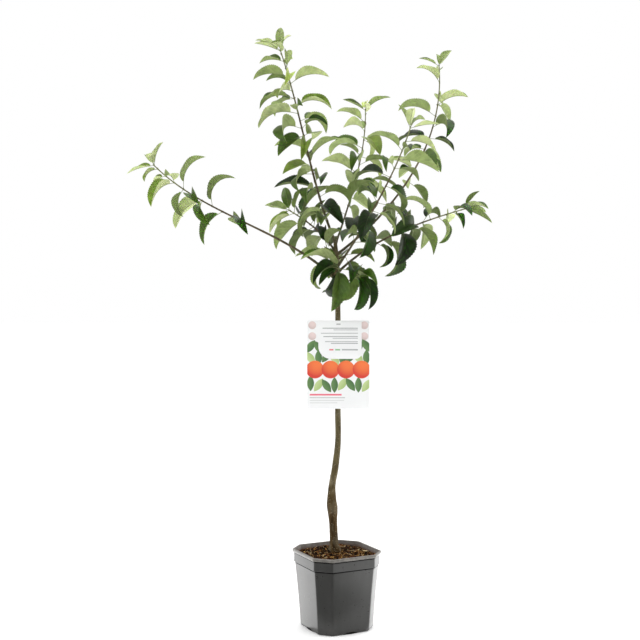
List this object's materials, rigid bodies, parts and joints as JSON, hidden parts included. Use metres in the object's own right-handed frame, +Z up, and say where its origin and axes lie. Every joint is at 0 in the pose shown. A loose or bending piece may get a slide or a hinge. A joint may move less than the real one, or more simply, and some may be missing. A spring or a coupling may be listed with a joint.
{
  "type": "young potted fruit tree",
  "caption": "Young fruit tree with a clear stem and an open crown of leafy shoots, standing in a square nursery pot of potting mix.",
  "frame": {"origin": "middle of the pot's flat underside", "axes": "+Z up the trunk; the front, where the label hangs, faces -Y; +X to the right of the front"},
  "size_m": [0.8519, 0.4569, 1.4139],
  "materials": {
    "pot_plastic": "moulded nursery plastic, dark grey, softly glossy",
    "potting_mix": "coarse bark and fibre potting mix",
    "trunk_bark": "young brown bark with pale scales and a graft swelling",
    "bough_bark": "smooth olive brown bark with pale pores",
    "leaf_green": "satin green leaves, paler beneath",
    "label_paper": "coated card with a plain printed pattern"
  },
  "bodies": {
    "root": {"pot": "pot_plastic", "soil": "potting_mix", "trunk": "trunk_bark", "bough_snag": "bough_bark", "bough_leader": "bough_bark", "bough_left": "bough_bark", "bough_left_inner": "bough_bark", "bough_back": "bough_bark", "bough_right": "bough_bark", "bough_inner_right": "bough_bark", "bough_right_low": "bough_bark", "foliage_leader": "leaf_green", "foliage_left": "leaf_green", "foliage_left_inner": "leaf_green", "foliage_back": "leaf_green", "foliage_right": "leaf_green", "foliage_inner_right": "leaf_green", "foliage_right_low": "leaf_green", "foliage_spur_front": "leaf_green", "foliage_spur_low": "leaf_green", "foliage_spur_side": "leaf_green", "foliage_spur_back": "leaf_green", "foliage_spur_left": "leaf_green", "label_card": "label_paper", "label_flap": "label_paper", "label_strap": "label_paper"}
  },
  "joints": []
}
